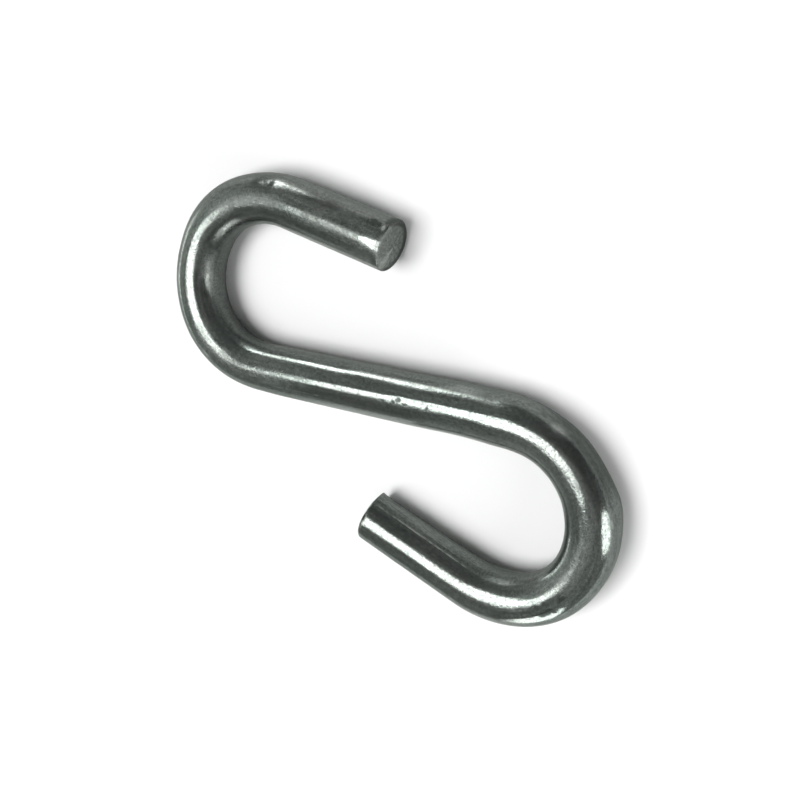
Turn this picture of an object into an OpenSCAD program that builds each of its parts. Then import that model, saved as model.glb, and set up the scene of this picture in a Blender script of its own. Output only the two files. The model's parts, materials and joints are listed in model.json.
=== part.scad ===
// An open S hook: one length of round steel wire, cut at both ends and bent cold.
// It lies on its side. The shank runs along X, the upper hook is on the -X side and
// opens towards +X, and the lower hook is on the +X side and opens towards -X.
// The origin is on the surface that it lies on, under the middle of its outline.

/* [Wire] */
// Diameter of the wire
wire_d = 7.8; // [5:0.1:12]
// Radius rolled onto the rim of each cut end
rim_r = 0.5; // [0.2:0.1:2]

/* [Shank] */
// Overall length of the hook, over the outside of both bends
overall_l = 76.2; // [70:0.1:130]

/* [Upper hook] */
// Centreline radius of the bend next to the shank
upper_near_r = 12.2; // [10:0.1:18]
// Angle over which that radius holds
upper_near_angle = 68; // [40:0.5:88]
// Centreline radius of the rest of the bend, round to the arm
upper_far_r = 13.9; // [10:0.1:18]
// Angle of the whole bend, from the shank to the arm
upper_bend_angle = 193.5; // [182:0.5:204]
// Straight length of the arm, from the bend to the cut end
upper_arm_l = 18; // [6:0.1:28]
// Where the press flattened the outside of the bend, in degrees from the shank
upper_flats = [8, 108, 171]; // [5:1:175]

/* [Lower hook] */
// Centreline radius of the bend next to the shank
lower_near_r = 14.9; // [10:0.1:18]
// Angle over which that radius holds
lower_near_angle = 65.5; // [40:0.5:88]
// Centreline radius of the rest of the bend, round to the arm
lower_far_r = 13.6; // [10:0.1:18]
// Angle of the whole bend, from the shank to the arm
lower_bend_angle = 201; // [182:0.5:204]
// Straight length of the arm, from the bend to the cut end
lower_arm_l = 18.5; // [6:0.1:28]
// Where the press flattened the outside of the bend, in degrees from the shank
lower_flats = [22, 54, 117]; // [5:1:175]

/* [Press flats] */
// Depth of each flat
flat_depth = 0.25; // [0.05:0.05:0.8]

/* [Shear flat] */
// Length of the flat that the shear pressed on top of the upper cut end
shear_flat_l = 3.2; // [1:0.1:5]
// Depth of that flat at the cut face
shear_flat_depth = 0.3; // [0.1:0.05:0.8]

/* [Hidden] */
$fn = 96;
wire_r = wire_d / 2;

// How far a bend's centreline reaches past the end of the shank, and how far across from it
function reach(near_r, far_r, near_angle) = far_r + (near_r - far_r) * sin(near_angle);
function rise(near_r, far_r, near_angle) = far_r + near_r - (near_r - far_r) * cos(near_angle);
upper_reach = reach(upper_near_r, upper_far_r, upper_near_angle);
upper_rise = rise(upper_near_r, upper_far_r, upper_near_angle);
lower_reach = reach(lower_near_r, lower_far_r, lower_near_angle);
lower_rise = rise(lower_near_r, lower_far_r, lower_near_angle);

// The straight part of the shank is what the two bends leave of the overall length
shank_l = overall_l - wire_d - upper_reach - lower_reach;

// Middle of the outline, seen from the middle of the shank
middle = [(lower_reach - upper_reach) / 2, (upper_rise - lower_rise) / 2, -wire_r];

// Each arc is made this many degrees too long, and then cut square where the next piece starts
spare_angle = 2;

// A turn by the angle whose sine and cosine are both six-figure decimals, the nearest such angle
// to the one asked for, within 0.02 degrees. Both are then exact wherever they are written down,
// so each stretch of wire meets the next one on the same circle.
six_figures = 1e6;
search_width = 60;
function shortened(v) = round(v * six_figures) / six_figures;
function sine_of(c) = sqrt(1 - c * c);
function miss(c) = abs(sine_of(c) - shortened(sine_of(c)));
function nearby(c) = [for (i = [-search_width : search_width]) c + i / six_figures];
function short_cosine(angle) =
    let (
        choices = [for (c = nearby(shortened(cos(angle)))) if (abs(c) < 1) c],
        least = min([for (c = choices) miss(c)])
    )
    [for (c = choices) if (miss(c) == least) c][0];

module clockwise(angle) {
    c = short_cosine(angle);
    s = shortened(sine_of(c));
    multmatrix([[c, s, 0, 0], [-s, c, 0, 0], [0, 0, 1, 0], [0, 0, 0, 1]]) children();
}

// The wire is laid from the middle of the shank outwards. Each stretch starts at the origin,
// heads along +X and puts its children at its far end. Every bend is clockwise.
module straight(length) {
    rotate([0, 90, 0]) cylinder(h = length, r = wire_r);
    translate([length, 0, 0]) children();
}

module past_bend(bend_r, angle) {
    translate([0, -bend_r, 0]) clockwise(angle) translate([0, bend_r, 0]) children();
}

module bend(bend_r, angle) {
    difference() {
        translate([0, -bend_r, 0])
            rotate([180, 0, 90])
                rotate_extrude(angle = angle + spare_angle)
                    translate([bend_r, 0])
                        circle(wire_r);
        past_bend(bend_r, angle)
            translate([0, -wire_d, -wire_d])
                cube([wire_d, 2 * wire_d, 2 * wire_d]);
    }
    past_bend(bend_r, angle) children();
}

// The arm ends in a flat cut face with a rolled rim, turned about the wire's own axis
module arm(length) {
    rotate([0, 90, 0])
        rotate_extrude() {
            square([wire_r, length - rim_r]);
            square([wire_r - rim_r, length]);
            translate([wire_r - rim_r, length - rim_r])
                intersection() {
                    circle(rim_r);
                    square(rim_r);
                }
        }
}

// A block whose sloping face cuts the flat on top of an arm of that length, deepest at the cut face
module shear_cutter(length) {
    translate([length - shear_flat_l, -wire_d, wire_r])
        rotate([0, atan(shear_flat_depth / shear_flat_l), 0])
            cube(2 * wire_d);
}

// A block whose face cuts the outside of a bend to the depth of one flat
module flat_cutter(bend_r, angle) {
    translate([0, -bend_r, 0])
        rotate([0, 0, -angle])
            translate([-wire_d, bend_r + wire_r - flat_depth, -wire_d])
                cube(2 * wire_d);
}

module bend_flats(near_r, near_angle, far_r, angles) {
    for (angle = angles) {
        if (angle < near_angle) flat_cutter(near_r, angle);
        else past_bend(near_r, near_angle) flat_cutter(far_r, angle - near_angle);
    }
}

// Half of the shank with the bend that follows it. The arm is the child.
module half_hook(near_r, near_angle, far_r, bend_angle, flats) {
    difference() {
        straight(shank_l / 2)
            bend(near_r, near_angle)
                bend(far_r, bend_angle - near_angle)
                    children();
        translate([shank_l / 2, 0, 0]) bend_flats(near_r, near_angle, far_r, flats);
    }
}

module lower_half() {
    half_hook(lower_near_r, lower_near_angle, lower_far_r, lower_bend_angle, lower_flats)
        arm(lower_arm_l);
}

module upper_half() {
    rotate([0, 0, 180])
        half_hook(upper_near_r, upper_near_angle, upper_far_r, upper_bend_angle, upper_flats)
            difference() {
                arm(upper_arm_l);
                shear_cutter(upper_arm_l);
            }
}

module s_hook() {
    color([0.44, 0.46, 0.44])
        translate(-middle) {
            lower_half();
            upper_half();
        }
}

s_hook();
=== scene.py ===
import json
import math

import bpy
import numpy as np
from mathutils import Euler, Matrix, Quaternion, Vector


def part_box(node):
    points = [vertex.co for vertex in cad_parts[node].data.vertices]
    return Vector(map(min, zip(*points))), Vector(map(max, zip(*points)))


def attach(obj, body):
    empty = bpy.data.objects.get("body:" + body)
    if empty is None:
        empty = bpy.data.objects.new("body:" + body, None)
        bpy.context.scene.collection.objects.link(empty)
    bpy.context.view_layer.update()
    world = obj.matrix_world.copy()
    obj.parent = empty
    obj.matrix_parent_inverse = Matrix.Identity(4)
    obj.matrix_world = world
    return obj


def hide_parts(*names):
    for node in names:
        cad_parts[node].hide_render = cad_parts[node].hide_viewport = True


# An open S hook of zinc-plated steel wire, lying on its side on a pale floor.
#
# The wire's own lengths are in millimetres, and so are the tables of its shape and its finish. Its mesh
# is in metres, and so are the places and sizes of the floor and the lamps.
# A place on the wire is given by how far along it lies from the upper cut end, s, and by the angle
# round it: 90 degrees is the top, and 0 is the left side on the way to the lower end. The tables
# have that angle in degrees and the arrays in radians.

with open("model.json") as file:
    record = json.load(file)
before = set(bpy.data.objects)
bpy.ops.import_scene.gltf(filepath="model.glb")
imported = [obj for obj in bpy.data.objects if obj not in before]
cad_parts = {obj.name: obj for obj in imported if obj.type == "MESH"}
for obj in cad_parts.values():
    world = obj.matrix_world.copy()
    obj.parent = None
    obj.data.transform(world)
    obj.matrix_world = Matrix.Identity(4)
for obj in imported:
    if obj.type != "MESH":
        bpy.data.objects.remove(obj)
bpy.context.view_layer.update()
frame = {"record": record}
record = frame["record"]
MM = 0.001

# --------------------------------------------------------------------- driving dimensions
mounts = {m["name"]: m for m in record["mounts"]}
wire_r_mm = mounts["upper_arm_end"]["dims"]["r_mm"]
low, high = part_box("s_hook")
overall_mm = round((high.x - low.x) / MM, 1)

# Each hook has a bend of two radii, near the shank and far from it, and a straight arm. The near
# radius turns through near_angle, and the whole bend through bend. The press left its marks at the
# angles in flats, measured from the shank.
UPPER = dict(near_r=12.2, near_angle=68, far_r=13.9, bend=193.5, arm=18.0, flats=[8, 108, 171])
LOWER = dict(near_r=14.9, near_angle=65.5, far_r=13.6, bend=201.0, arm=18.5, flats=[22, 54, 117])


def reach(hook):
    """How far the wire's middle goes past the end of the shank, along it."""
    return hook["far_r"] + (hook["near_r"] - hook["far_r"]) * math.sin(math.radians(hook["near_angle"]))


def rise(hook):
    """How far the wire's middle goes to one side of the shank."""
    narrowed = (hook["near_r"] - hook["far_r"]) * math.cos(math.radians(hook["near_angle"]))
    return hook["far_r"] + hook["near_r"] - narrowed


shank_mm = overall_mm - 2 * wire_r_mm - reach(UPPER) - reach(LOWER)
outline_middle = np.array([(reach(LOWER) - reach(UPPER)) / 2, (rise(UPPER) - rise(LOWER)) / 2])


# --------------------------------------------------------------------- the wire's centreline
def stretches(hook, turn):
    """The two bends and the arm of one hook, from the shank outwards: (length, signed curvature)."""
    far_angle = hook["bend"] - hook["near_angle"]
    return [
        (math.radians(hook["near_angle"]) * hook["near_r"], turn / hook["near_r"]),
        (math.radians(far_angle) * hook["far_r"], turn / hook["far_r"]),
        (hook["arm"], 0.0),
    ]


# The whole wire in one run, from the upper cut end to the lower one. The upper bends turn left and
# the lower ones turn right.
run = stretches(UPPER, 1)[::-1] + [(shank_mm, 0.0)] + stretches(LOWER, -1)
SHANK = run.index((shank_mm, 0.0))
starts = np.concatenate([[0.0], np.cumsum([length for length, _ in run])])
shank_start, shank_end, wire_mm = starts[SHANK], starts[SHANK + 1], starts[-1]


def step(p, heading, length, curvature):
    """The place and heading after a length of wire of one curvature."""
    if curvature == 0:
        return p + length * np.array([math.cos(heading), math.sin(heading)]), heading
    after = heading + curvature * length
    move = np.array([math.sin(after) - math.sin(heading), math.cos(heading) - math.cos(after)])
    return p + move / curvature, after


def lay_out():
    """The place and heading at the start of each stretch, and at the end of the last. The wire is
    laid out from the origin, then moved so that the shank lies along X at the CAD's place."""
    p, heading = np.zeros(2), 0.0
    laid = [(p, heading)]
    for length, curvature in run:
        p, heading = step(p, heading, length, curvature)
        laid.append((p, heading))
    turned = laid[SHANK][1]
    spin = np.array([[math.cos(turned), math.sin(turned)], [-math.sin(turned), math.cos(turned)]])
    shank_middle = spin @ ((laid[SHANK][0] + laid[SHANK + 1][0]) / 2)
    return [(spin @ q - shank_middle - outline_middle, a - turned) for q, a in laid]


stations = lay_out()


def centreline(s):
    """Points, unit tangents and unit left-hand normals of the wire at the distances s."""
    s = np.clip(s, 0.0, wire_mm)
    index = np.clip(np.searchsorted(starts, s, side="right") - 1, 0, len(run) - 1)
    points, tangents = np.zeros((len(s), 3)), np.zeros((len(s), 3))
    for i, (_, curvature) in enumerate(run):
        here = index == i
        q, a = stations[i]
        along = s[here] - starts[i]
        after = a + curvature * along
        if curvature == 0:
            points[here, 0] = q[0] + along * math.cos(a)
            points[here, 1] = q[1] + along * math.sin(a)
        else:
            points[here, 0] = q[0] + (np.sin(after) - math.sin(a)) / curvature
            points[here, 1] = q[1] + (math.cos(a) - np.cos(after)) / curvature
        tangents[here, 0], tangents[here, 1] = np.cos(after), np.sin(after)
    points[:, 2] = wire_r_mm
    left = np.stack([-tangents[:, 1], tangents[:, 0], np.zeros(len(s))], axis=1)
    return points, tangents, left


# --------------------------------------------------------------------- smooth seeded noise
def waves(seed, size_mm, stretch=1.0, count=48):
    """A smooth random field over the straightened wire, about -1 to 1, with features of that size.
    stretch makes them longer along the wire."""
    random = np.random.default_rng(seed)
    direction = random.normal(size=(count, 3))
    direction /= np.linalg.norm(direction, axis=1, keepdims=True)
    k = direction * (2 * math.pi / size_mm) * random.uniform(0.6, 1.4, (count, 1))
    k[:, 0] /= stretch
    phase = random.uniform(0, 2 * math.pi, count)

    def field(straight):
        total = np.zeros(straight.shape[:-1])
        for j in range(count):
            total += np.cos(straight @ k[j] + phase[j])
        return total * math.sqrt(2.0 / count) * 0.6

    return field


def smoothstep(a, b, x):
    t = np.clip((x - a) / (b - a), 0, 1)
    return t * t * (3 - 2 * t)


# --------------------------------------------------------------------- shape of the wire's skin
# The fine unevenness of drawn wire: a random field and its height
UNEVENNESS = [
    (waves(11, 9.0, 2.0), 0.010),
    (waves(12, 2.2, 1.6), 0.0030),
    (waves(13, 0.9, 1.3), 0.0010),
]
bruise_wave = waves(14, 0.9, 1.2)

# Places where the wire is fuller (+) or thinner (-) than the plain bend:
# distance, angle, length, width and height
SWELLS = [
    (9, 170, 9, 4.5, 0.13),
    (31, 350, 6, 4.5, -0.17),
    (31, 165, 7, 4.5, 0.09),
    (36, 330, 5, 4, 0.09),
    (51, 138, 5, 4, 0.14),
    (60, 334, 3, 4, 0.10),
    (96, 340, 6, 4, 0.10),
    (97.5, 182, 5, 4, -0.16),
    (105, 155, 4, 4, 0.20),
    (114, 150, 5, 4, -0.13),
    (123, 339, 2.5, 3.5, 0.22),
    (128, 165, 5, 4, 0.08),
    (136, 185, 4, 4, -0.11),
    (141, 18, 6, 4, 0.12),
    (149.5, 210, 5.5, 4.5, 0.36),
]
# Bruises, where knocks and the press tool roughened the skin:
# distance, angle, length, width and height of the roughness
BRUISES = [
    (21.0, 138, 1.8, 1.4, 0.020),
    (90.5, 83, 2.8, 0.5, 0.012),
    (139.0, 68, 2.5, 0.7, 0.012),
]
# Low ridges (+) and grooves (-) left by the die:
# start and end along the wire, the angle at each of the two, half width and height
RIDGES = [
    (-3, 18, 99, 101, 0.95, 0.15),
    (15, 27, 101, 114, 1.2, 0.06),
    (10, 21, 158, 158, 1.5, 0.12),
    (30.5, 38, 86, 86, 1.0, -0.05),
    (42, 50, 77, 77, 1.0, 0.065),
    (49, 55, 79, 78, 1.0, 0.09),
    (54, 62, 76, 77, 1.0, 0.13),
    (60, 88, 78, 74, 0.95, 0.17),
    (88, 102, 70, 70, 1.2, 0.12),
    (102, 112, 70, 70, 1.2, 0.04),
    (110, 121, 85, 87, 1.0, -0.07),
    (55, 63, 18, 20, 1.5, 0.12),
    (80, 108, 20, 18, 1.5, 0.12),
    (122, 150, 148, 165, 1.5, 0.13),
    (140.5, 147, 76, 76, 0.8, 0.09),
    (141, 152, 92, 93, 2.0, -0.11),
    (154, 176, 100, 101, 1.3, 0.06),
]
RIDGE_FADE = 2.5
# The press marks: how deep they are, and half their length and width
PRESS_DEPTH, PRESS_LENGTH, PRESS_WIDTH = 0.16, 3.6, 4.0
UPPER_OUTSIDE, LOWER_OUTSIDE = 165, 345
# The angle of the side where the shear came out of the wire, at each cut end
UPPER_BURR, LOWER_BURR = 85, 196


def around(angle, centre):
    """Distance round the wire from a line at the angle centre, signed."""
    turn = (angle - np.radians(centre) + math.pi) % (2 * math.pi) - math.pi
    return turn * wire_r_mm


def spot(s, angle, at, centre, length, width):
    """A soft round patch, 1 in its middle."""
    return np.exp(-(((s - at) / length) ** 2) - (around(angle, centre) / width) ** 2)


def band(s, start, end, fade):
    """1 between start and end, and 0 away from them."""
    return smoothstep(start - fade, start + fade, s) * (1 - smoothstep(end - fade, end + fade, s))


def press_marks(s, angle):
    """How far the press pushed the skin in: soft dents on the outside of both bends."""
    pushed = np.zeros_like(s)
    sides = ((UPPER, shank_start, -1, UPPER_OUTSIDE), (LOWER, shank_end, 1, LOWER_OUTSIDE))
    for hook, bend_start, sign, outside in sides:
        for flat in hook["flats"]:
            along = math.radians(min(flat, hook["near_angle"])) * hook["near_r"]
            along += math.radians(max(flat - hook["near_angle"], 0)) * hook["far_r"]
            dent = spot(s, angle, bend_start + sign * along, outside, PRESS_LENGTH, PRESS_WIDTH)
            pushed += PRESS_DEPTH * dent
    return pushed


def shear_flat(s, angle):
    """Height of the flat that the shear blade pressed on top of the upper cut end. It rises along
    the wire, and runs out where it comes up through the skin."""
    depth, slope = 0.016, 0.047
    middle, twist = 92, 1.4
    flat_r = wire_r_mm - depth + slope * s
    turn = around(angle, middle + twist * s) / wire_r_mm
    return np.where(np.abs(turn) < 1, flat_r / np.cos(np.clip(turn, -1, 1)) - wire_r_mm, wire_r_mm)


def burr(s, angle):
    """The lip that the shear left at the lower cut end."""
    height, width = 0.24, 0.7
    near_end = smoothstep(1.0, 0.1, wire_mm - s)
    return height * near_end * np.exp(-(around(angle, LOWER_BURR) / width) ** 2)


def skin(s, angle, straight):
    """Height of the skin above the plain wire."""
    height = np.zeros_like(s)
    for wave, amount in UNEVENNESS:
        height += amount * wave(straight)
    for at, centre, length, width, amount in SWELLS:
        height += amount * spot(s, angle, at, centre, length, width)
    for start, end, first_angle, last_angle, width, amount in RIDGES:
        line = first_angle + (last_angle - first_angle) * (s - start) / (end - start)
        off = around(angle, 0) - np.radians(line) * wire_r_mm
        height += amount * band(s, start, end, RIDGE_FADE) * np.exp(-(off / width) ** 2)
    bruised = bruise_wave(straight)
    for at, centre, length, width, amount in BRUISES:
        height += amount * spot(s, angle, at, centre, length, width) * bruised
    height += burr(s, angle) - press_marks(s, angle)
    # the underside is never fuller than the plain wire, so the hook rests on the floor as it should
    clear = smoothstep(0.0, 0.5, 1 + np.sin(angle))
    return np.minimum(height, height * clear)


# --------------------------------------------------------------------- the hook's mesh
SEGMENTS = 112
RING_MM = 0.215
angles = np.linspace(0, 2 * math.pi, SEGMENTS, endpoint=False) - math.pi / 2
# Each end has rings on its rolled edge and rings on its cut face
ROLL_RINGS, FACE_RINGS = 9, 8
END_RINGS = ROLL_RINGS + FACE_RINGS - 1
# How deep the edge is rolled and how far along the wire, at the burr and opposite it
ROLL_DEPTH, ROLL_REACH = (0.14, 1.10), (0.12, 0.84)
# The cut faces are torn into low ridges, and the upper one leans back from square at its top
torn_wave = waves(31, 1.6)
TORN_MM, LEAN_MM, LEAN_RUN_MM = 0.03, 0.30, 5


def end_rings(burr_side):
    """How far the rolled edge of a cut end reaches along the wire, and the end's rings from the rim
    inwards: (distance from the end, radius, share of the cut face). The edge is rolled wide where
    the shear first pressed, and narrow at the burr."""
    away = 0.5 - 0.5 * np.cos(angles - math.radians(burr_side))
    depth, along = (least + (most - least) * away for least, most in (ROLL_DEPTH, ROLL_REACH))
    rings = []
    for j in range(1, ROLL_RINGS + 1):
        t = math.pi / 2 * j / ROLL_RINGS
        back = along * (1 - math.sin(t))
        radius = wire_r_mm - depth * (1 - math.cos(t))
        rings.append((back, radius, smoothstep(0.55, 0.95, j / ROLL_RINGS)))
    rim = rings[-1][1]
    for j in range(1, FACE_RINGS):
        rings.append((np.zeros(SEGMENTS), rim * (1 - j / FACE_RINGS), 1.0))
    return along, rings


def plain_wire():
    """Distance, radius and share of the cut face at each ring and segment, before the skin is shaped."""
    upper_along, upper_rings = end_rings(UPPER_BURR)
    lower_along, lower_rings = end_rings(LOWER_BURR)
    rows = list(reversed(upper_rings))
    for t in np.linspace(0, 1, int(round(wire_mm / RING_MM))):
        s = upper_along * (1 - t) + (wire_mm - lower_along) * t
        rows.append((s, np.full(SEGMENTS, wire_r_mm), 0.0))
    rows += [(wire_mm - back, radius, cut) for back, radius, cut in lower_rings]
    cut = np.array([np.full(SEGMENTS, share) for _, _, share in rows])
    return np.array([s for s, _, _ in rows]), np.array([r for _, r, _ in rows]), cut


def straightened(s, r, angle):
    """The place of each point on the wire if it were straight: along, left and up."""
    return np.stack([s, r * np.cos(angle), r * np.sin(angle)], axis=-1)


def bent(s, r, angle, cut):
    """The place of each point on the bent wire, with the cut faces torn and leaning."""
    points, tangents, left = (v.reshape(s.shape + (3,)) for v in centreline(s.ravel()))
    up = np.array([0, 0, 1.0])
    out = np.cos(angle)[..., None] * left + np.sin(angle)[..., None] * up
    outward = np.where(np.arange(len(s)) < len(s) / 2, -1.0, 1.0)[:, None]
    torn = outward * cut * (TORN_MM * torn_wave(straightened(s, r, angle)))
    lean = LEAN_MM * np.sin(angle) * r / wire_r_mm * smoothstep(LEAN_RUN_MM, 0, s)
    return points + out * r[..., None] + tangents * (torn + lean)[..., None]


s_grid, r_grid, cut_grid = plain_wire()
rings = len(s_grid)
a_grid = np.broadcast_to(angles, s_grid.shape)
skin_mm = skin(s_grid, a_grid, straightened(s_grid, wire_r_mm, a_grid))
flat_mm = shear_flat(s_grid, a_grid)
pressed_grid = smoothstep(0.0, 0.02, skin_mm - flat_mm)
# the skin's shape dies out towards the middle of the cut faces
r_grid = r_grid + np.minimum(skin_mm, flat_mm) * (r_grid / wire_r_mm) ** 2
straight_grid = straightened(s_grid, r_grid, a_grid)
place_grid = bent(s_grid, r_grid, a_grid, cut_grid)


def with_middles(grid):
    """A row for each vertex: the grid's points, then the middles of the first and the last ring."""
    return np.vstack([grid.reshape(-1, 3), grid[0].mean(axis=0), grid[-1].mean(axis=0)])


# The corners of every face as ring and column. The middle of the upper cut face counts as ring -1,
# and that of the lower one as the ring after the last.
quad_ring, quad_col = (g.reshape(-1, 1) for g in np.mgrid[0:rings - 1, 0:SEGMENTS])
fan_col = np.arange(SEGMENTS).reshape(-1, 1)
quad_rings, quad_cols = quad_ring + [0, 1, 1, 0], quad_col + [0, 0, 1, 1]
upper_fan = (np.tile([-1, 0, 0], (SEGMENTS, 1)), fan_col * [0, 1, 1] + [0, 0, 1])
lower_fan = (np.tile([0, -1, -1], (SEGMENTS, 1)) + rings, fan_col * [0, 1, 1] + [0, 1, 0])


def vertices_of(ring, col):
    """The vertex at each corner."""
    vertex = ring * SEGMENTS + col % SEGMENTS
    vertex = np.where(ring < 0, rings * SEGMENTS, vertex)
    return np.where(ring == rings, rings * SEGMENTS + 1, vertex)


faces = vertices_of(quad_rings, quad_cols).tolist()
faces += vertices_of(*upper_fan).tolist() + vertices_of(*lower_fan).tolist()
mesh = bpy.data.meshes.new("s_hook_wire")
mesh.from_pydata((with_middles(place_grid) * MM).tolist(), [], faces)
mesh.update()
wire = bpy.data.objects.new("s_hook_wire", mesh)
bpy.context.scene.collection.objects.link(wire)
mesh.polygons.foreach_set("use_smooth", [True] * len(mesh.polygons))

# --------------------------------------------------------------------- where the finish changes, and where shade and light are painted
# Dull bands of the plating: start, end, angle, width and strength
DULL = [
    (-3, 31, 99, 2.0, 1.0),
    (51, 73, 82, 2.2, 0.8),
    (25, 35, 40, 1.0, 0.9),
    (36, 44, 42, 1.2, 0.8),
    (101.5, 105, 36, 1.0, 1.0),
    (117, 129, 27, 1.0, 0.9),
    (123, 136, 84, 1.3, 0.6),
    (127, 136.5, 104, 1.0, 0.7),
]
# Bands of painted floor reflection, where the plate is painted paler for the bright floor it reflects:
# start, end, angle, width and strength
PAINTED_FLOOR_REFLECTIONS = [
    (106, 122, 128, 1.6, 0.28),
    (129, 137, 110, 1.2, 0.12),
    (93, 104, 131, 1.2, 0.3),
    (74, 106, 144, 1.2, 0.6),
    (-3, 17, 37, 1.2, 0.65),
    (145, 154, 46, 1.0, 0.5),
]
# Bands of painted shade, where the plate is painted darker for the shade and dark surroundings it
# reflects: start, end, angle, width and strength
PAINTED_SHADE = [
    (42, 63, 12, 1.6, 0.45),
    (19.7, 23, 138, 1.4, 0.95),
    (20, 34, 166, 2.5, 0.35),
    (42.5, 46, 42, 1.0, 0.8),
    (40.5, 48.5, 65, 0.6, 0.8),
    (3.5, 9, 111, 0.5, 0.7),
    (3.5, 9, 84, 0.6, 0.8),
    (10, 17, 96, 1.0, 0.5),
    (9, 14.5, 139, 0.8, 0.7),
    (18, 28, 85, 0.9, 0.6),
    (32.5, 36, 46, 0.8, 0.6),
    (144.4, 148, 61, 1.0, 0.8),
    (46, 64, 355, 1.8, 0.8),
    (138, 152, 175, 3.0, 0.3),
    (63, 91, 132, 1.0, 0.25),
    (24, 62, 2, 1.8, 0.6),
    (110, 121, 14, 3.0, 0.85),
    (70, 92, 106, 1.0, 0.4),
    (4, 27, 76, 1.1, 0.6),
    (24, 36, 38, 0.8, 1.0),
    (24, 36, 60, 0.5, 0.8),
]
# Painted glints, pale spots painted where highlights fall: distance, angle, length, width and strength
PAINTED_GLINTS = [
    (111.7, 31, 1.2, 0.8, 0.8),
    (0.75, 137, 0.35, 0.5, 1.0),
    (98.5, 22, 2.2, 0.7, 0.6),
    (35.5, 119, 2.2, 0.35, 0.7),
    (43, 117, 0.9, 0.3, 0.6),
    (54.5, 114, 0.9, 0.35, 0.6),
    (27.8, 50, 1.5, 0.4, 0.5),
    (39.3, 40, 1.3, 0.4, 0.5),
    (139.7, 96, 0.3, 0.3, 0.9),
]
# Chips, where the plating is knocked off: distance, angle, length and width
CHIPS = [
    (86.6, 85.5, 0.45, 0.30),
    (88.4, 83.5, 0.30, 0.38),
    (89.2, 78.2, 0.68, 0.32),
    (90.4, 84.0, 0.80, 0.20),
    (93.9, 82.0, 0.26, 0.33),
    (19.9, 135, 0.40, 0.60),
    (138.5, 68, 0.55, 0.50),
    (140.1, 68.5, 0.60, 0.45),
    (139.4, 70.5, 1.30, 0.50),
    (136.2, 80, 0.70, 0.40),
    (2.5, 139, 1.30, 0.70),
    (171.7, 111, 0.50, 0.50),
]
chip_wave = waves(22, 0.7)
# The middle of the stretch of both rims where the cut grey reaches round and the painted rim highlight
# lies, as an angle
WORN_AND_HIGHLIT_RIM = 95
# The painted shade of the dark crescent on the underside of the upper cut face, where its rolled edge
# faces the
# shaded floor, lies outside a circle: the angle towards which it lies, how far the circle's middle is
# from the face's, and its radii inside and outside
CRESCENT_ANGLE, CRESCENT_SHIFT, CRESCENT_RADII = 276, 0.9, (3.0, 3.35)

to_end = np.minimum(s_grid, wire_mm - s_grid)
# 1 on the wire's side and 0 on the cut faces, where a spot on the rim would spread into a wedge
on_skin = smoothstep(0.88, 0.96, r_grid / wire_r_mm)


def bands(table, power, fade, fade_share=math.inf):
    """The strongest of a table's bands at each place. A higher power gives them sharper sides. They
    fade in and out over the length fade, or over that share of their own length if it is less."""
    strongest = np.zeros_like(s_grid)
    for start, end, centre, width, amount in table:
        beside = np.exp(-(around(a_grid, centre) / width) ** power)
        ends = band(s_grid, start, end, min(fade, fade_share * (end - start)))
        strongest = np.maximum(strongest, amount * ends * beside)
    return strongest


def painted_light_share():
    """The painted floor reflections, the painted glints, and the painted highlight on the sharp edge of
    both rims.
    """
    painted_light = bands(PAINTED_FLOOR_REFLECTIONS, 2, 5.0)
    for at, centre, length, width, amount in PAINTED_GLINTS:
        painted_light = np.maximum(painted_light, amount * on_skin * spot(s_grid, a_grid, at, centre, length, width))
    # painted highlight along the sharp edge of both rims
    sharp_rim = smoothstep(0.30, 0.12, to_end) * smoothstep(0.88, 0.93, r_grid / wire_r_mm)
    return np.maximum(painted_light, 0.3 * sharp_rim * np.exp(-(around(a_grid, WORN_AND_HIGHLIT_RIM) / 4.5) ** 4))


def chipped():
    """The chips, with ragged edges."""
    chip = np.zeros_like(s_grid)
    ragged = 1 + 0.4 * chip_wave(straight_grid)
    for at, centre, length, width in CHIPS:
        near = on_skin * spot(s_grid, a_grid, at, centre, length, width)
        chip = np.maximum(chip, smoothstep(0.25, 0.50, near * ragged))
    return chip


def painted_shade_share():
    """The painted shade, with the painted crescent of shade on the upper cut face."""
    turn = a_grid - math.radians(CRESCENT_ANGLE)
    off_centre = np.hypot(r_grid * np.cos(turn) + CRESCENT_SHIFT, r_grid * np.sin(turn))
    crescent = smoothstep(1.4, 0.9, s_grid) * smoothstep(*CRESCENT_RADII, off_centre)
    return np.maximum(bands(PAINTED_SHADE, 2, 2.0, 0.25), crescent)


def torn_grey_share():
    """The cut faces, whose torn grey reaches a little way round the top of their rims."""
    worn = smoothstep(0.85, 0.6, to_end) * np.exp(-(around(a_grid, WORN_AND_HIGHLIT_RIM) / 2.2) ** 4)
    return np.maximum(cut_grid, 0.8 * worn)


def store(name, grid, in_middles=0.0):
    """Keeps a value for each vertex, for the material to read."""
    values = np.append(grid.ravel(), [in_middles, in_middles]).astype(np.float32)
    mesh.attributes.new(name, "FLOAT", "POINT").data.foreach_set("value", values)


laid_out = mesh.attributes.new("laid", "FLOAT_VECTOR", "POINT")
laid_out.data.foreach_set("vector", with_middles(straight_grid).astype(np.float32).ravel())
store("dull", bands(DULL, 4, 2.5) * (1 - pressed_grid))
store("painted_light", painted_light_share())
store("chip", chipped())
store("painted_shade", painted_shade_share())
store("cut", torn_grey_share(), in_middles=1.0)

# --------------------------------------------------------------------- UV map for the bake
# The side of the wire is cut into strips that lie one above the other, and the two cut faces are
# discs above them.
STRIPS, STRIP_HEIGHT, STRIP_GAP, MARGIN = 3, 0.275, 0.012, 0.004
DISC_HEIGHT, DISC_RADIUS = 0.93, 0.0635
UPPER_DISC, LOWER_DISC = 0.08, 0.24


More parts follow.
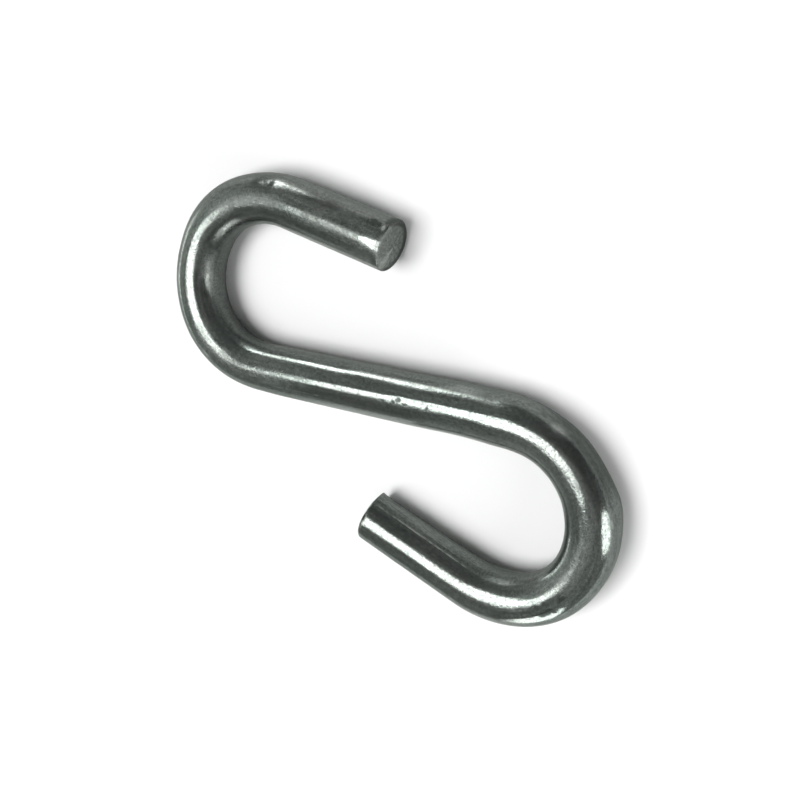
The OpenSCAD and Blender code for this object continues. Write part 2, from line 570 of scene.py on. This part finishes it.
def disc(ring_from_middle, col, centre):
    """U and V of corners on a cut face."""
    radius = DISC_RADIUS * ring_from_middle / END_RINGS
    turn = 2 * math.pi * col / SEGMENTS
    return np.stack([centre + radius * np.cos(turn), DISC_HEIGHT + radius * np.sin(turn)], axis=-1)


def side(ring, col, face_ring):
    """U and V of corners on the wire's side. Those of one face share a strip."""
    side_rings = rings - 2 * END_RINGS + 1
    share = (ring - (END_RINGS - 1)) / side_rings
    face_share = (face_ring - (END_RINGS - 1) + 0.5) / side_rings
    strip = np.clip((face_share * STRIPS).astype(int), 0, STRIPS - 1)
    u = MARGIN + (1 - 2 * MARGIN) * np.clip(share * STRIPS - strip, 0, 1)
    v = strip * (STRIP_HEIGHT + STRIP_GAP) + MARGIN + STRIP_HEIGHT * col / SEGMENTS
    return np.stack([u, v], axis=-1)


def unwrapped(ring, col):
    """U and V of the corners of faces, from the ring and column of each corner."""
    face_ring = ring.min(axis=1, keepdims=True)
    on_upper, on_lower = face_ring < END_RINGS - 1, face_ring >= rings - END_RINGS
    uv = np.where(on_upper[..., None], disc(ring + 1, col, UPPER_DISC), side(ring, col, face_ring))
    uv = np.where(on_lower[..., None], disc(rings - ring, col, LOWER_DISC), uv)
    return uv.reshape(-1, 2)


corners_uv = [unwrapped(*corners) for corners in ((quad_rings, quad_cols), upper_fan, lower_fan)]
bake_map = mesh.uv_layers.new(name="OFBake")
bake_map.data.foreach_set("uv", np.vstack(corners_uv).astype(np.float32).ravel())


# --------------------------------------------------------------------- node helpers
def material(name):
    m = bpy.data.materials.new(name)
    m.use_nodes = True
    m.node_tree.nodes.clear()
    return m, m.node_tree


def node(tree, kind, **settings):
    """A new node. Each setting is one of its inputs or, if it has none of that name, a property."""
    n = tree.nodes.new(kind)
    for key, value in settings.items():
        if key in n.inputs:
            n.inputs[key].default_value = value
        else:
            setattr(n, key, value)
    return n


def feed(tree, socket, value):
    """Gives a socket a number, a colour or another node's output."""
    if isinstance(value, (int, float)):
        socket.default_value = value
    elif isinstance(value, tuple):
        socket.default_value = (*value, 1.0)
    else:
        tree.links.new(value, socket)


def math_node(tree, operation, *values, clamp=False):
    n = node(tree, "ShaderNodeMath", operation=operation, use_clamp=clamp)
    for socket, value in zip(n.inputs, values):
        feed(tree, socket, value)
    return n.outputs[0]


def product(tree, a, b):
    return math_node(tree, "MULTIPLY", a, b)


def weighted_sum(tree, start, terms):
    """start plus each term's value times its weight."""
    total = start
    for value, weight in terms:
        total = math_node(tree, "MULTIPLY_ADD", value, weight, total)
    return total


def mix_colour(tree, factor, a, b, blend="MIX"):
    n = node(tree, "ShaderNodeMix", data_type="RGBA", blend_type=blend)
    for socket, value in ((n.inputs[0], factor), (n.inputs[6], a), (n.inputs[7], b)):
        feed(tree, socket, value)
    return n.outputs[2]


def grey(tree, value):
    """A grey of that brightness."""
    n = node(tree, "ShaderNodeCombineColor")
    for socket in n.inputs:
        tree.links.new(value, socket)
    return n.outputs[0]


def noise(tree, vector, scale, detail=2.0, roughness=0.5):
    n = node(tree, "ShaderNodeTexNoise", Scale=scale, Detail=detail, Roughness=roughness)
    tree.links.new(vector, n.inputs["Vector"])
    return n.outputs["Fac"]


def remap(tree, value, low, high, to_low=0.0, to_high=1.0, smooth=False):
    n = node(tree, "ShaderNodeMapRange", interpolation_type="SMOOTHSTEP" if smooth else "LINEAR")
    for socket, v in zip(n.inputs, (value, low, high, to_low, to_high)):
        feed(tree, socket, v)
    return n.outputs[0]


def attribute(tree, name, output="Fac"):
    return node(tree, "ShaderNodeAttribute", attribute_name=name).outputs[output]


def parts_of(tree, vector):
    """The X, Y and Z of a vector."""
    n = node(tree, "ShaderNodeSeparateXYZ")
    tree.links.new(vector, n.inputs[0])
    return n.outputs["X"], n.outputs["Y"], n.outputs["Z"]


def drawn_out(tree, along, share):
    """Coordinates whose patterns come out longer along the wire: share is under 1."""
    n = node(tree, "ShaderNodeVectorMath", operation="MULTIPLY")
    n.inputs[1].default_value = (share, 1, 1)
    tree.links.new(along, n.inputs[0])
    return n.outputs[0]


# --------------------------------------------------------------------- the zinc plate
GREEN_GREY = (0.172, 0.194, 0.180)
WARM_GREY = (0.186, 0.200, 0.188)
# the dark of the chips, used also for the painted shade
CHIP_AND_SHADE_DARK = (0.022, 0.026, 0.023)
CUT_GREY = (0.146, 0.156, 0.147)
# the pale of the painted light, and of the scratches
PAINTED_LIGHT_AND_SCRATCH_PALE = (0.34, 0.36, 0.34)
GRAZING_TINT = (0.50, 0.52, 0.50, 1.0)

# How far each kind of wear, and the painted shade, takes the colour to its own
CUT_STRENGTH, PAINTED_SHADE_STRENGTH, SCRATCH_STRENGTH, CHIP_STRENGTH = 0.9, 0.7, 0.8, 0.85
# The plate's least and greatest roughness, and what each kind of wear and the painted light adds to it
PLATE_ROUGHNESS = (0.11, 0.15)
ROUGHER = {"dull": 0.20, "side": 0.20, "scratch": 0.25, "painted_light": 0.25, "chip": 0.25, "cut": 0.25}
# The plate is not all metal: a thin powdery bloom scatters a little of the light, and more where the
# plate is worn or light is painted on it
PLATE_METAL = 0.89
LESS_METAL = {"dull": -0.30, "side": -0.20, "painted_light": -0.40, "scratch": -0.60}
# How high each pattern stands in the bump map, in mm
BUMPS = {
    "grain": 0.006,
    "fine": 0.0105,
    "lines": 0.0045,
    "side lines": 0.004,
    "frost": 0.030,
    "torn": 0.040,
    "scratch": -0.035,
}
# Long scratches, whose pale colour is partly a painted glint: start and end along the wire, the angle at
# each of the two, half width, brightness
SCRATCHES = [
    (153.6, 168.8, 148, 151.5, 0.12, 0.7),
    (156.0, 171.4, 149, 151.5, 0.18, 1.0),
    (156.0, 171.0, 159, 171, 0.09, 0.6),
    (159.0, 171.5, 166, 178, 0.07, 0.4),
    (46.0, 60.0, 112, 124, 0.08, 0.6),
    (66.0, 80.0, 112, 108, 0.05, 0.3),
]


def scratches(tree, along):
    """Brightest in the middle of each scratch, and broken up along its run."""
    s, left, up = parts_of(tree, along)
    turn = math_node(tree, "ARCTAN2", up, left)
    total = 0.0
    for start, end, first_angle, last_angle, half_width, bright in SCRATCHES:
        share = remap(tree, s, start, end)
        centre = remap(tree, share, 0, 1, math.radians(first_angle), math.radians(last_angle))
        off = math_node(tree, "ABSOLUTE", math_node(tree, "SUBTRACT", turn, centre))
        line = remap(tree, product(tree, off, wire_r_mm), 0, half_width, 1, 0, smooth=True)
        from_middle = math_node(tree, "ABSOLUTE", math_node(tree, "SUBTRACT", share, 0.5))
        inside = remap(tree, from_middle, 0.42, 0.5, 1, 0)
        line = product(tree, line, product(tree, inside, bright))
        total = math_node(tree, "MAXIMUM", total, line)
    broken = remap(tree, noise(tree, drawn_out(tree, along, 0.8), 1.3), 0.40, 0.55, 0.15, 1.0)
    return product(tree, total, broken)


def wear_and_painted_light_on(tree, along):
    """How much of each kind of wear, of painted shade and of painted light there is at a place, 0 to 1.
    """
    wear_and_painted_light = {name: attribute(tree, name) for name in ("dull", "chip", "cut", "painted_light", "painted_shade")}
    # the dull bands are mottled: the plating is bright in places there
    mottled = remap(tree, noise(tree, drawn_out(tree, along, 0.7), 0.9, 3, 0.6), 0.36, 0.60, 0.35, 1.0)
    wear_and_painted_light["dull"] = product(tree, wear_and_painted_light["dull"], mottled)
    # the die rubbed the two sides of the wire, and they are less shiny than its top and bottom; in
    # grained their colour is also painted darker, as painted shade
    off_middle = math_node(tree, "ABSOLUTE", parts_of(tree, along)[1])
    wear_and_painted_light["side"] = remap(tree, off_middle, 0.77 * wire_r_mm, 0.90 * wire_r_mm, smooth=True)
    wear_and_painted_light["scratch"] = scratches(tree, along)
    return wear_and_painted_light


def grained(tree, along, grain, fine, on_side):
    """How much brighter or darker the plate's grain and drawing lines make it, about 1, with painted
    shade that darkens the wire's two sides.
    """
    speckle = math_node(tree, "ADD", product(tree, grain, 0.5), product(tree, fine, 0.5))
    brightness = remap(tree, speckle, 0.38, 0.62, 0.64, 1.36)
    streaks = noise(tree, drawn_out(tree, along, 0.05), 2.0, 3, 0.6)
    brightness = product(tree, brightness, remap(tree, streaks, 0.38, 0.60, 0.84, 1.08))
    # painted shade: the wire's two sides are painted darker
    return product(tree, brightness, remap(tree, on_side, 0, 1, 1.0, 0.78))


def plate_colour(tree, clouds, brightness, wear_and_painted_light):
    """The plate's clouded grey, dimmed where it is dull, with each kind of wear, the painted shade and
    the painted light laid over it.
    """
    mottle = grey(tree, brightness)
    colour = mix_colour(tree, remap(tree, clouds, 0.4, 0.62, smooth=True), GREEN_GREY, WARM_GREY)
    colour = mix_colour(tree, 1.0, colour, mottle, "MULTIPLY")
    dimmed = grey(tree, remap(tree, wear_and_painted_light["dull"], 0, 1, 1.0, 0.72))
    colour = mix_colour(tree, 1.0, colour, dimmed, "MULTIPLY")
    torn_grey = mix_colour(tree, 1.0, CUT_GREY, mottle, "MULTIPLY")
    # the painted shade darkens the colour towards the chips' dark; the painted light, and the scratches
    # with their painted glint, pale it
    for name, strength, towards in (
        ("cut", CUT_STRENGTH, torn_grey),
        ("painted_shade", PAINTED_SHADE_STRENGTH, CHIP_AND_SHADE_DARK),
        ("painted_light", brightness, PAINTED_LIGHT_AND_SCRATCH_PALE),
        ("scratch", SCRATCH_STRENGTH, PAINTED_LIGHT_AND_SCRATCH_PALE),
        ("chip", CHIP_STRENGTH, CHIP_AND_SHADE_DARK),
    ):
        colour = mix_colour(tree, product(tree, wear_and_painted_light[name], strength), colour, towards)
    return colour


def plate_bump(tree, along, grain, fine, wear_and_painted_light):
    """The normals of the plate's fine relief."""
    lines = noise(tree, drawn_out(tree, along, 0.02), 3.2, 3, 0.55)
    frost = noise(tree, along, 3.4, 2, 0.6)
    patterns = {
        "grain": grain,
        "fine": fine,
        "lines": lines,
        "side lines": product(tree, wear_and_painted_light["side"], lines),
        "frost": product(tree, wear_and_painted_light["dull"], frost),
        "torn": product(tree, wear_and_painted_light["cut"], grain),
        "scratch": wear_and_painted_light["scratch"],
    }
    bump = node(tree, "ShaderNodeBump", Strength=1.0, Distance=MM)
    height = weighted_sum(tree, 0.0, [(patterns[name], mm) for name, mm in BUMPS.items()])
    tree.links.new(height, bump.inputs["Height"])
    return bump.outputs[0]


def zinc_plate():
    """Zinc-plated steel with the wire's own wear, and with painted shade and painted light, laid out
    along the straightened wire.
    """
    m, tree = material("zinc_plated_steel")
    along = attribute(tree, "laid", "Vector")
    wear_and_painted_light = wear_and_painted_light_on(tree, along)
    clouds = noise(tree, drawn_out(tree, along, 0.35), 0.22, 3)
    grain = noise(tree, along, 2.2, 4, 0.6)
    fine = noise(tree, along, 4.6, 2, 0.6)
    brightness = grained(tree, along, grain, fine, wear_and_painted_light["side"])
    rough = remap(tree, clouds, 0.35, 0.65, *PLATE_ROUGHNESS)
    rough = weighted_sum(tree, rough, [(wear_and_painted_light[name], more) for name, more in ROUGHER.items()])
    metal = weighted_sum(tree, PLATE_METAL, [(wear_and_painted_light[name], less) for name, less in LESS_METAL.items()])
    metal.node.use_clamp = True
    shader = node(tree, "ShaderNodeBsdfPrincipled")
    shader.inputs["Specular Tint"].default_value = GRAZING_TINT
    tree.links.new(plate_colour(tree, clouds, brightness, wear_and_painted_light), shader.inputs["Base Color"])
    tree.links.new(rough, shader.inputs["Roughness"])
    tree.links.new(metal, shader.inputs["Metallic"])
    tree.links.new(plate_bump(tree, along, grain, fine, wear_and_painted_light), shader.inputs["Normal"])
    out = node(tree, "ShaderNodeOutputMaterial")
    tree.links.new(shader.outputs[0], out.inputs[0])
    return m


wire.data.materials.append(zinc_plate())
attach(wire, "root")
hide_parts("s_hook")


# --------------------------------------------------------------------- floor
FLOOR_GREY = (0.84, 0.84, 0.84, 1)
FLOOR_HALF, FLOOR_DROP = 3.0, 0.00002


def floor_material():
    m, tree = material("pale_floor")
    shader = node(tree, "ShaderNodeBsdfDiffuse", Color=FLOOR_GREY)
    out = node(tree, "ShaderNodeOutputMaterial")
    tree.links.new(shader.outputs[0], out.inputs[0])
    return m


floor_corners = [(x * FLOOR_HALF, y * FLOOR_HALF, 0) for x, y in ((-1, -1), (1, -1), (1, 1), (-1, 1))]
floor_mesh = bpy.data.meshes.new("floor")
floor_mesh.from_pydata(floor_corners, [], [(0, 1, 2, 3)])
floor_mesh.materials.append(floor_material())
floor = bpy.data.objects.new("floor", floor_mesh)
floor.location.z = -FLOOR_DROP
bpy.context.scene.collection.objects.link(floor)

# --------------------------------------------------------------------- light
hook_middle = Vector((0, 0, wire_r_mm * MM))
# Softboxes: where they stand as azimuth, elevation and distance in m, the half width and height that
# the hook sees of them in degrees, their brightness, and how far they are turned about their axis
LAMPS = {
    "overhead": (176, 77, 0.90, 18.8, 18.8, 7.0, 0),
    "left_high": (-156, 55, 1.60, 9.5, 9.0, 5.5, 0),
    "right": (-15.7, 17, 0.334, 14, 17, 6.0, 0),
    "near_side": (-88, 9.5, 0.98, 12, 17, 6.0, -30),
    "far_left": (118.5, 8.5, 0.43, 8.0, 10, 8.0, 26),
    "left": (188, 5, 0.76, 22, 4, 2.6, 0),
}
# How bright the studio's walls are at each azimuth, in steps of 45 degrees from -180, how much
# brighter they are at the horizon, and how bright the ceiling is
WALLS = [0.70, 0.23, 0.33, 0.26, 0.15, 0.11, 0.14, 0.34, 0.70]
WALL_TINT = (1, 1.05, 1.01)
HORIZON_EXTRA, HORIZON_HEIGHT = 0.20, 0.30
CEILING, CEILING_FROM, CEILING_FULL = 0.40, 0.80, 0.97


def direction(azimuth, elevation):
    """Unit vector from the hook: azimuth from +X towards +Y, elevation above the floor, in degrees."""
    a, e = math.radians(azimuth), math.radians(elevation)
    return Vector((math.cos(e) * math.cos(a), math.cos(e) * math.sin(a), math.sin(e)))


def soft_lamp(name, azimuth, elevation, distance, half_width, half_height, radiance, roll):
    """An oval softbox that faces the hook."""
    lamp = bpy.data.lights.new(name, "AREA")
    lamp.shape = "ELLIPSE"
    lamp.size = 2 * distance * math.tan(math.radians(half_width))
    lamp.size_y = 2 * distance * math.tan(math.radians(half_height))
    lamp.energy = radiance * math.pi * (math.pi / 4 * lamp.size * lamp.size_y)
    o = bpy.data.objects.new(name, lamp)
    towards = direction(azimuth, elevation)
    o.location = hook_middle + towards * distance
    o.rotation_mode = "QUATERNION"
    o.rotation_quaternion = towards.to_track_quat("Z", "Y") @ Quaternion((0, 0, 1), math.radians(roll))
    o.visible_camera = False
    bpy.context.scene.collection.objects.link(o)


def studio():
    """The room round the hook: grey walls, a little brighter at the horizon, and a grey ceiling."""
    world = bpy.data.worlds.new("studio")
    world.use_nodes = True
    tree = world.node_tree
    tree.nodes.clear()
    x, y, z = parts_of(tree, node(tree, "ShaderNodeTexCoord").outputs["Generated"])
    walls = node(tree, "ShaderNodeValToRGB")
    ramp = walls.color_ramp
    ramp.interpolation = "EASE"
    steps = len(WALLS) - 1
    for i in range(1, steps):
        ramp.elements.new(i / steps)
    for i, level in enumerate(WALLS):
        ramp.elements[i].position = i / steps
        ramp.elements[i].color = (*(level * share for share in WALL_TINT), 1)
    azimuth = math_node(tree, "ARCTAN2", y, x)
    tree.links.new(remap(tree, azimuth, -math.pi, math.pi), walls.inputs[0])
    near_horizon = remap(tree, z, 0.0, HORIZON_HEIGHT, HORIZON_EXTRA, 0.0, smooth=True)
    room = mix_colour(tree, 1.0, walls.outputs[0], grey(tree, near_horizon), "ADD")
    high_up = remap(tree, z, CEILING_FROM, CEILING_FULL, smooth=True)
    room = mix_colour(tree, high_up, room, (CEILING, CEILING, CEILING))
    back = node(tree, "ShaderNodeBackground")
    tree.links.new(room, back.inputs["Color"])
    out = node(tree, "ShaderNodeOutputWorld")
    tree.links.new(back.outputs[0], out.inputs[0])
    return world


for name, settings in LAMPS.items():
    soft_lamp(name, *settings)
bpy.context.scene.world = studio()

# --------------------------------------------------------------------- camera
# It looks down on the hook at the photo's angle, from over its +X and +Y side. Its turn is in degrees
# about X, Y and Z, from looking straight down.
CAMERA_MM = Vector((71.349, 51.092, 135.278))
CAMERA_TURN = (-17.660, 28.439, 2.864)
SENSOR_MM, LENS_MM = 36.0, 47.41

camera_data = bpy.data.cameras.new("camera")
camera_data.sensor_width, camera_data.lens = SENSOR_MM, LENS_MM
camera_data.clip_start, camera_data.clip_end = 0.01, 20
camera = bpy.data.objects.new("camera", camera_data)
bpy.context.scene.collection.objects.link(camera)
turned = Euler([math.radians(angle) for angle in CAMERA_TURN]).to_matrix().to_4x4()
camera.matrix_world = Matrix.Translation(CAMERA_MM * MM) @ turned
bpy.context.scene.camera = camera
bpy.context.scene.view_settings.view_transform = "Standard"
